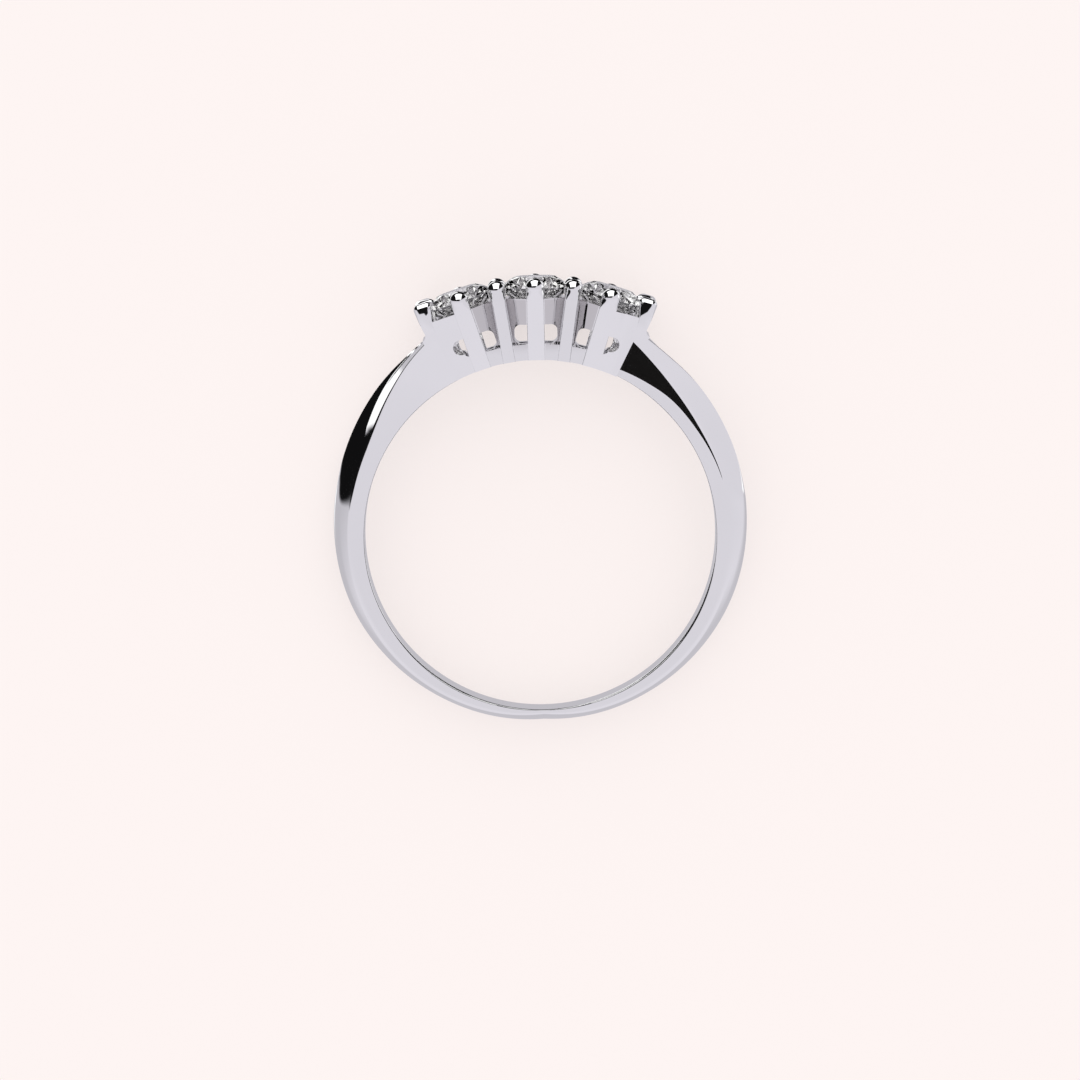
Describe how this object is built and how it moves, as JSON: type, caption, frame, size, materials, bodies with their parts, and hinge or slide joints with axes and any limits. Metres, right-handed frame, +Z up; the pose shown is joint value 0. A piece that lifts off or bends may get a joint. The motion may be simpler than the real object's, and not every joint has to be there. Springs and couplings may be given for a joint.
{
  "type": "three stone ring",
  "caption": "Finger ring with three round brilliant cut stones side by side in a pronged head, on a slim polished shank whose shoulders twist into the head.",
  "frame": {"origin": "middle of the ring's box in X and Y, on the surface that the ring lies on", "axes": "+X to the right and +Y towards the head as the ring is seen from above, +Z up from the surface that it lies on; the finger hole's axis leans 3.8 degrees from +Z towards -Y"},
  "size_m": [0.0202, 0.0218, 0.0047],
  "materials": {
    "white_gold": "high polish, rhodium plated white gold",
    "stone": "clear, faceted and polished"
  },
  "bodies": {
    "root": {"ring_mount": "white_gold", "centre_stone": "stone", "left_stone": "stone", "right_stone": "stone"}
  },
  "joints": []
}
